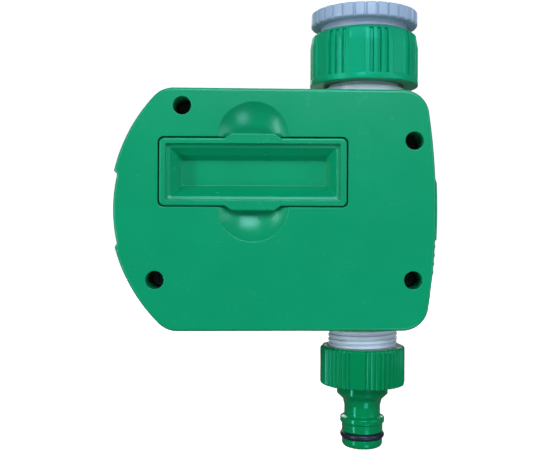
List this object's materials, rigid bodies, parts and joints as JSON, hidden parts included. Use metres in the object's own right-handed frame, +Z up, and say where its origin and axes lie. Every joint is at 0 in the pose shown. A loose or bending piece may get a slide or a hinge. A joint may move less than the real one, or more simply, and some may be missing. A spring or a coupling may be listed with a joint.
{
  "type": "drip irrigation timer",
  "caption": "Battery powered tap timer for drip watering: a motor turned ball valve in a two part housing, with a threaded inlet, a hose nipple and a lidded control panel.",
  "frame": {"origin": "centre of the tap adapter's mouth, at the top of the inlet", "axes": "+Z up along the water pipe, out of the inlet mouth; +Y out of the battery side; -Y out of the display side; the control end lies to +X"},
  "size_m": [0.1172, 0.0505, 0.1665],
  "materials": {
    "housing_green": "fine satin",
    "connector_green": "gloss",
    "nut_green": "satin",
    "adapter_grey": "satin",
    "valve_grey": "satin",
    "seal_rubber": "matt",
    "washer_rubber": "matt",
    "seal_silicone": "matt",
    "screw_steel": "zinc plated",
    "pin_steel": "ground",
    "clear_lid": "polished clear",
    "clear_window": "polished clear",
    "panel_black": "satin print",
    "button_grey": "satin",
    "lcd_glass": "matt polariser",
    "board_green": "solder mask",
    "chip_black": "moulded",
    "switch_black": "moulded",
    "gear_nylon": "natural nylon",
    "gearbox_abs": "moulded",
    "motor_can": "plated",
    "cell_jacket": "printed film",
    "contact_nickel": "nickel plated",
    "tray_black": "moulded",
    "seat_ptfe": "waxy",
    "ball_chrome": "polished",
    "mesh_white": "moulded"
  },
  "bodies": {
    "housing": {"rear_housing": "housing_green", "front_housing": "housing_green", "housing_gasket": "seal_silicone", "housing_screws": "screw_steel", "bay_contacts": "contact_nickel", "valve_body_upper": "valve_grey", "valve_body_lower": "valve_grey", "valve_body_o_ring": "seal_rubber", "ball_seat_upper": "seat_ptfe", "ball_seat_lower": "seat_ptfe", "gear_axles": "pin_steel", "motor": "motor_can", "motor_screws": "screw_steel", "gearbox_base": "gearbox_abs", "gearbox_cover": "gearbox_abs", "gearbox_screws": "screw_steel", "plate_screws": "screw_steel", "circuit_board": "board_green", "board_parts": "chip_black", "board_screws": "screw_steel", "tact_switches": "switch_black", "lcd_module": "lcd_glass", "lcd_window": "clear_window", "fascia_panel": "panel_black", "cover_hinge_pin": "pin_steel", "filter_screen": "mesh_white"},
    "battery_drawer": {"battery_cover": "housing_green", "battery_seal": "seal_silicone", "battery_cradle": "tray_black", "battery_contacts": "contact_nickel", "battery_1": "cell_jacket", "battery_2": "cell_jacket"},
    "ball": {"valve_ball": "ball_chrome", "valve_stem": "pin_steel", "stem_seal": "seal_rubber", "output_gear": "gear_nylon"},
    "gear_b": {"gear_b": "gear_nylon"},
    "gear_a": {"gear_a": "gear_nylon"},
    "motor_rotor": {"motor_pinion": "gear_nylon", "motor_shaft": "pin_steel"},
    "lid": {"flip_cover": "clear_lid"},
    "button_1": {"button_1": "button_grey"},
    "button_2": {"button_2": "button_grey"},
    "button_3": {"button_3": "button_grey"},
    "button_4": {"button_4": "button_grey"},
    "swivel_nut": {"swivel_nut": "nut_green"},
    "adapter_washer": {"inlet_washer": "washer_rubber"},
    "adapter": {"inlet_adapter": "adapter_grey"},
    "connector_washer": {"outlet_washer": "washer_rubber"},
    "connector": {"outlet_connector": "connector_green", "outlet_o_ring": "seal_rubber"}
  },
  "joints": [
    {"name": "ball_turn", "type": "hinge", "parent": "housing", "child": "ball", "pos_m": [0, 0, -0.09], "axis": [0, 1, 0], "range_deg": [0, 90]},
    {"name": "gear_b_spin", "type": "hinge", "parent": "housing", "child": "gear_b", "pos_m": [0.0149, 0.016, -0.0946], "axis": [0, 1, 0], "range_deg": [-301, 1]},
    {"name": "gear_a_spin", "type": "hinge", "parent": "housing", "child": "gear_a", "pos_m": [0.029, 0.013, -0.0975], "axis": [0, 1, 0], "range_deg": [-1, 901]},
    {"name": "motor_spin", "type": "hinge", "parent": "housing", "child": "motor_rotor", "pos_m": [0.04275, 0.01, -0.0963], "axis": [0, 1, 0], "range_deg": [-3241, 1]},
    {"name": "lid_hinge", "type": "hinge", "parent": "housing", "child": "lid", "pos_m": [0.054, -0.0254, -0.0382], "axis": [-1, 0, 0], "range_deg": [0, 110]},
    {"name": "button_1_press", "type": "slide", "parent": "housing", "child": "button_1", "axis": [0, 1, 0], "range_m": [0, 0.0005], "stiffness_N_per_m": 400},
    {"name": "button_2_press", "type": "slide", "parent": "housing", "child": "button_2", "axis": [0, 1, 0], "range_m": [0, 0.0005], "stiffness_N_per_m": 400},
    {"name": "button_3_press", "type": "slide", "parent": "housing", "child": "button_3", "axis": [0, 1, 0], "range_m": [0, 0.0005], "stiffness_N_per_m": 400},
    {"name": "button_4_press", "type": "slide", "parent": "housing", "child": "button_4", "axis": [0, 1, 0], "range_m": [0, 0.0005], "stiffness_N_per_m": 400},
    {"name": "drawer_slide", "type": "slide", "parent": "housing", "child": "battery_drawer", "axis": [0, 1, 0], "range_m": [0, 0.024]},
    {"name": "nut_swivel", "type": "hinge", "parent": "housing", "child": "swivel_nut", "pos_m": [0, 0, -0.0176], "axis": [0, 0, 1], "continuous": true},
    {"name": "adapter_lift", "type": "slide", "parent": "swivel_nut", "child": "adapter_washer", "axis": [0, 0, 1], "range_m": [0, 0.0139]},
    {"name": "adapter_turn", "type": "hinge", "parent": "adapter_washer", "child": "adapter", "pos_m": [0, 0, -0.009], "axis": [0, 0, 1], "range_deg": [0, 2160]},
    {"name": "connector_drop", "type": "slide", "parent": "housing", "child": "connector_washer", "axis": [0, 0, -1], "range_m": [0, 0.0073]},
    {"name": "connector_turn", "type": "hinge", "parent": "connector_washer", "child": "connector", "pos_m": [0, 0, -0.145], "axis": [0, 0, -1], "range_deg": [0, 1440]}
  ],
  "couplings": [
    {"joint": "gear_b_spin", "follows": "ball_turn", "ratio": -3.3333},
    {"joint": "gear_a_spin", "follows": "ball_turn", "ratio": 10},
    {"joint": "motor_spin", "follows": "ball_turn", "ratio": -36},
    {"joint": "adapter_lift", "follows": "adapter_turn", "m_per_rad": 0.00036749},
    {"joint": "connector_drop", "follows": "connector_turn", "m_per_rad": 0.00028871}
  ]
}
